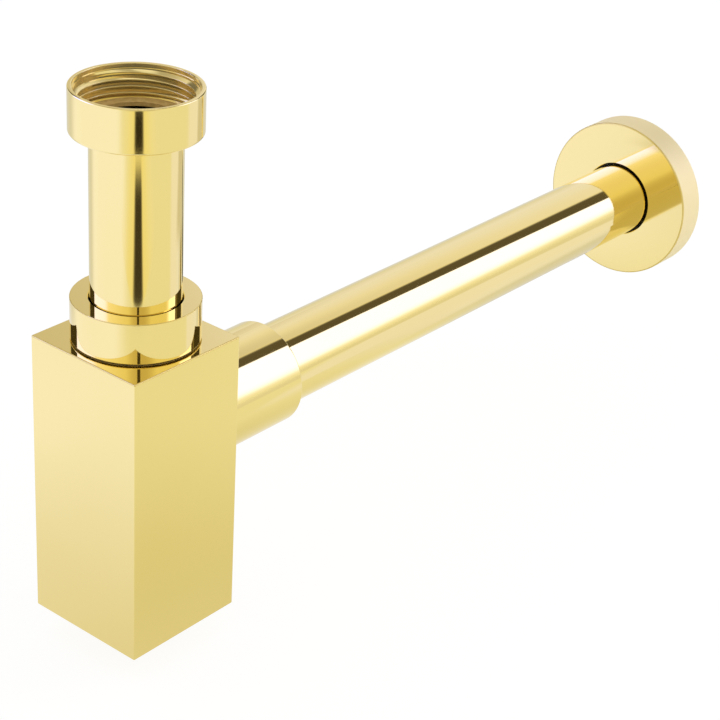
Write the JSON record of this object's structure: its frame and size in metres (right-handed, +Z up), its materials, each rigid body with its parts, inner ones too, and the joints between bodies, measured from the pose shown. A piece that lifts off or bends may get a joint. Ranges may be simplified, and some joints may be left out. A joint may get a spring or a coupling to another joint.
{
  "type": "sink trap",
  "caption": "Square bottle trap in gold-plated brass for a washbasin, with a threaded inlet union, a straight outlet pipe and a deep round wall flange.",
  "frame": {"origin": "middle of the seat in the union nut where the end of the basin waste presses on the washer", "axes": "+Z up the inlet, +Y along the outlet pipe to the wall, +X to the right of someone facing the wall"},
  "size_m": [0.0716, 0.3705, 0.204],
  "materials": {
    "gold_plated_brass": "polished gold plating over brass",
    "black_rubber": "matt black moulded rubber",
    "slip_plastic": "natural polyethylene",
    "fibre": "pressed fibre sheet"
  },
  "bodies": {
    "trap": {"trap_body": "gold_plated_brass", "inlet_seal": "black_rubber", "outlet_seal": "black_rubber"},
    "inlet": {"inlet_tube": "gold_plated_brass", "union_washer": "fibre"},
    "union": {"union_nut": "gold_plated_brass"},
    "inlet_ring": {"inlet_slip_ring": "slip_plastic"},
    "inlet_clamp": {"inlet_collar": "gold_plated_brass"},
    "outlet_ring": {"outlet_slip_ring": "slip_plastic"},
    "outlet_clamp": {"outlet_collar": "gold_plated_brass"},
    "outlet": {"outlet_pipe": "gold_plated_brass"},
    "flange": {"wall_flange": "gold_plated_brass", "flange_grip_ring": "black_rubber"},
    "plug_seal": {"plug_ring": "black_rubber"},
    "plug": {"cleaning_plug": "gold_plated_brass"}
  },
  "joints": [
    {"name": "inlet_height", "type": "slide", "parent": "trap", "child": "inlet", "axis": [0, 0, 1], "range_m": [-0.006, 0.024]},
    {"name": "union_spin", "type": "hinge", "parent": "inlet", "child": "union", "pos_m": [0, 0, 0], "axis": [0, 0, 1], "continuous": true},
    {"name": "inlet_collar_lift", "type": "slide", "parent": "trap", "child": "inlet_ring", "axis": [0, 0, 1], "range_m": [0, 0.007]},
    {"name": "inlet_collar_turn", "type": "hinge", "parent": "inlet_ring", "child": "inlet_clamp", "pos_m": [0, 0, -0.0723], "axis": [0, 0, 1], "range_deg": [0, 1080]},
    {"name": "outlet_collar_draw", "type": "slide", "parent": "trap", "child": "outlet_ring", "axis": [0, 1, 0], "range_m": [0, 0.0105]},
    {"name": "outlet_collar_turn", "type": "hinge", "parent": "outlet_ring", "child": "outlet_clamp", "pos_m": [0, 0.04655, -0.1195], "axis": [0, 1, 0], "range_deg": [0, 2520]},
    {"name": "outlet_reach", "type": "slide", "parent": "trap", "child": "outlet", "axis": [0, 1, 0], "range_m": [-0.012, 0.006]},
    {"name": "flange_slide", "type": "slide", "parent": "outlet", "child": "flange", "axis": [0, 1, 0], "range_m": [-0.2, 0.018]},
    {"name": "plug_drop", "type": "slide", "parent": "trap", "child": "plug_seal", "axis": [0, 0, -1], "range_m": [0, 0.0045]},
    {"name": "plug_turn", "type": "hinge", "parent": "plug_seal", "child": "plug", "pos_m": [0, 0, -0.189], "axis": [0, 0, -1], "range_deg": [0, 1080]}
  ],
  "couplings": [
    {"joint": "inlet_collar_lift", "follows": "inlet_collar_turn", "m_per_rad": 0.00036749},
    {"joint": "outlet_collar_draw", "follows": "outlet_collar_turn", "m_per_rad": 0.00023873},
    {"joint": "plug_drop", "follows": "plug_turn", "m_per_rad": 0.00023873}
  ]
}
